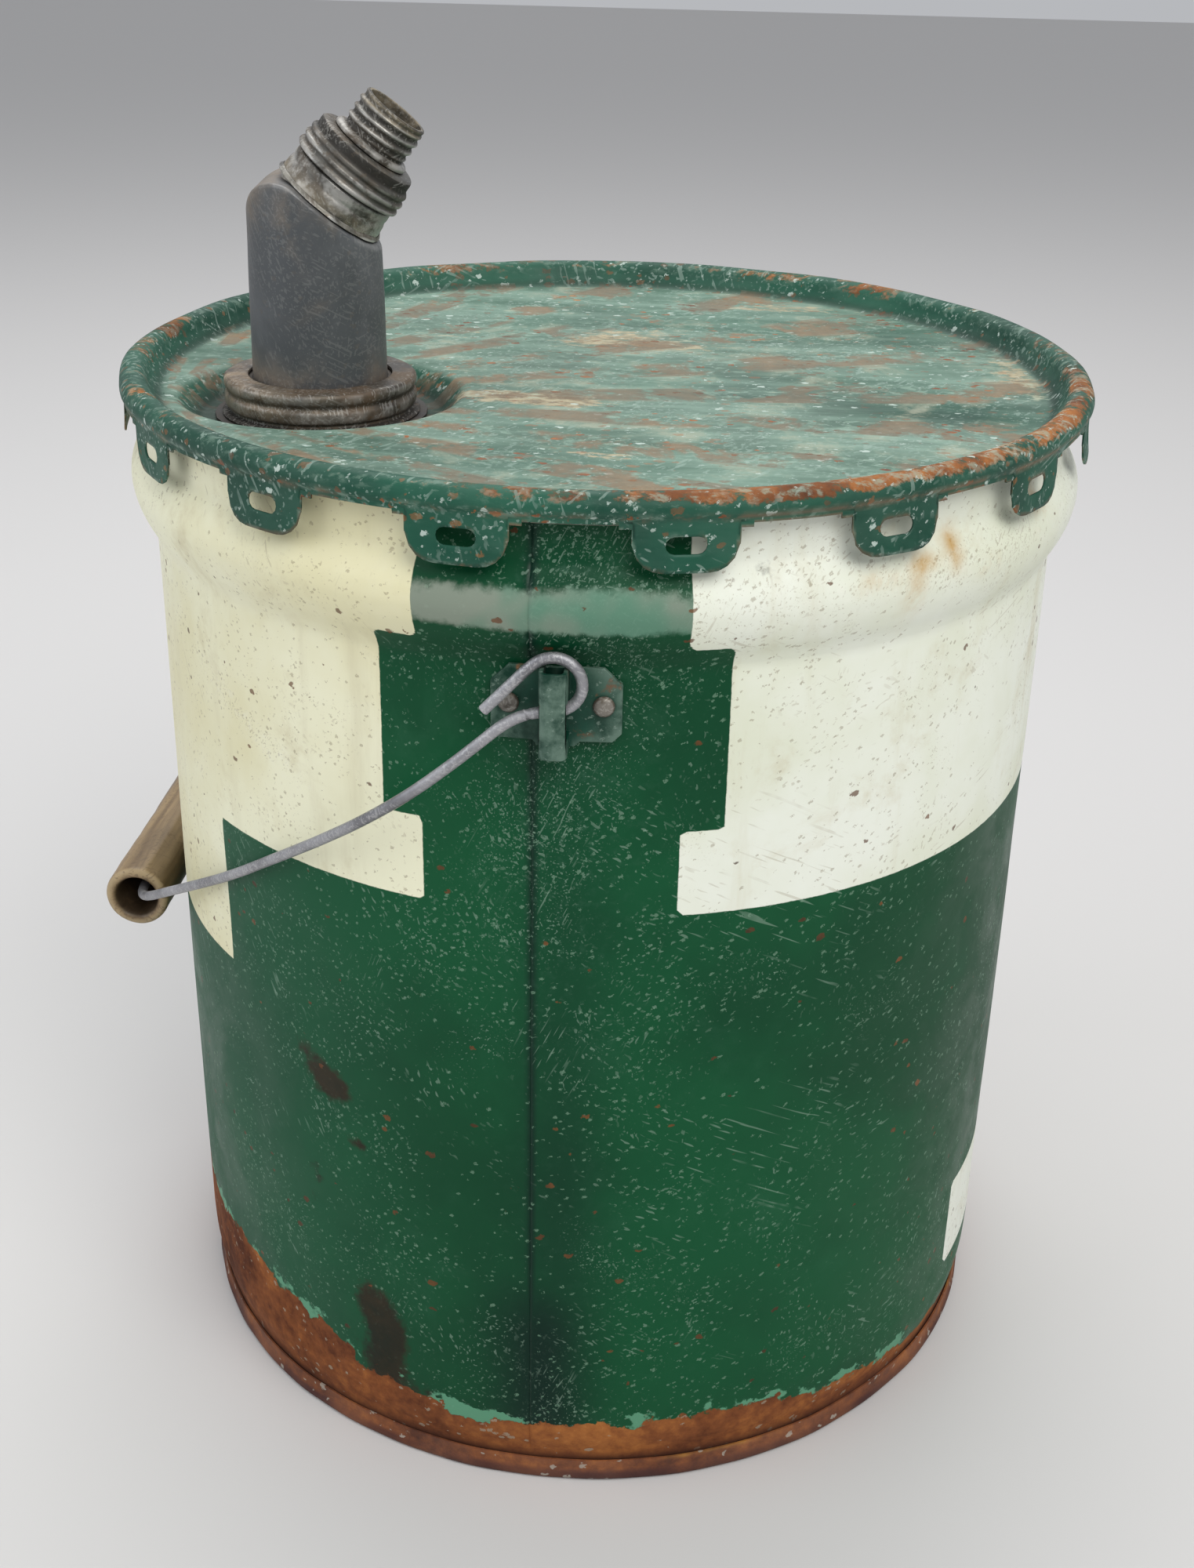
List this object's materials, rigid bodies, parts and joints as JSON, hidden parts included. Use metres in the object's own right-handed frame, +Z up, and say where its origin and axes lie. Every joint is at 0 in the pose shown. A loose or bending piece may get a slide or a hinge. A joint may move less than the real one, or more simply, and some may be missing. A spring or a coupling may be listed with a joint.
{
  "type": "lug cover pail with spout",
  "caption": "Round steel pail with a bead below its rim, a lug cover holding a screw-on bent pouring spout, and a swinging wire bail with a wooden grip.",
  "frame": {"origin": "on the pail's axis, at the floor that its foot stands on, directly under the middle of the bottom panel", "axes": "+Z up along the pail's axis; the two bail ears face -Y and +Y; the bail hangs on the -X side and the spout leans towards +X"},
  "size_m": [0.3219, 0.3166, 0.4235],
  "materials": {
    "pail_paint": "worn gloss enamel, green with cream fields, rusting towards the foot",
    "cover_paint": "chalked green enamel with rust at the rim",
    "rusty_chime": "rusted, paint mostly gone",
    "dull_zinc": "dull grey galvanised steel",
    "browned_steel": "browned and worn bright at the high spots",
    "tinplate": "worn tinplate with dark grime between the threads",
    "wire": "dull galvanised wire",
    "solder": "old soft solder",
    "grip_wood": "worn varnish",
    "gasket": "aged, oil stained"
  },
  "bodies": {
    "pail": {"pail_body": "pail_paint", "bottom_head": "rusty_chime", "ear_front": "pail_paint", "ear_rear": "pail_paint", "rivet_front_left": "dull_zinc", "rivet_front_right": "dull_zinc", "rivet_rear_left": "dull_zinc", "rivet_rear_right": "dull_zinc"},
    "bail": {"bail_wire": "wire"},
    "handle": {"grip": "grip_wood"},
    "lid_seat": {"lid_gasket": "gasket"},
    "cover": {"lid": "cover_paint", "lid_neck": "browned_steel", "neck_gasket": "gasket"},
    "spout_seat": {"spout_gasket": "gasket"},
    "nut": {"ring_nut": "browned_steel"},
    "spout": {"spout_tube": "dull_zinc", "solder_fillet": "solder", "spout_neck": "tinplate"},
    "cap_seat": {"cap_gasket": "gasket"},
    "cap": {"reducer_cap": "tinplate", "nozzle": "tinplate"}
  },
  "joints": [
    {"name": "bail_swing", "type": "hinge", "parent": "pail", "child": "bail", "pos_m": [0, 0, 0.28925], "axis": [0, 1, 0], "range_deg": [0, 261]},
    {"name": "grip_spin", "type": "hinge", "parent": "bail", "child": "handle", "pos_m": [-0.157, 0, 0.15516], "axis": [0, 1, 0], "continuous": true},
    {"name": "lid_turn", "type": "hinge", "parent": "pail", "child": "lid_seat", "pos_m": [0, 0, 0.3386], "axis": [0, 0, 1], "continuous": true},
    {"name": "lid_lift", "type": "slide", "parent": "lid_seat", "child": "cover", "axis": [0, 0, 1], "range_m": [0, 0.06]},
    {"name": "spout_lift", "type": "slide", "parent": "cover", "child": "spout_seat", "axis": [0, 0, 1], "range_m": [0, 0.00601]},
    {"name": "ring_nut_turn", "type": "hinge", "parent": "spout_seat", "child": "nut", "pos_m": [-0.08708, -0.02999, 0.336], "axis": [0, 0, 1], "range_deg": [0, 720]},
    {"name": "spout_swivel", "type": "hinge", "parent": "spout_seat", "child": "spout", "pos_m": [-0.08708, -0.02999, 0.336], "axis": [0, 0, 1], "continuous": true},
    {"name": "cap_lift", "type": "slide", "parent": "spout", "child": "cap_seat", "axis": [0.6137, 0.0494, 0.788], "range_m": [0, 0.00501]},
    {"name": "cap_turn", "type": "hinge", "parent": "cap_seat", "child": "cap", "pos_m": [-0.08234, -0.02961, 0.3903], "axis": [0.6137, 0.0494, 0.788], "range_deg": [0, 720]}
  ],
  "couplings": [
    {"joint": "spout_lift", "follows": "ring_nut_turn", "m_per_rad": 0.00047746},
    {"joint": "cap_lift", "follows": "cap_turn", "m_per_rad": 0.00039789}
  ]
}
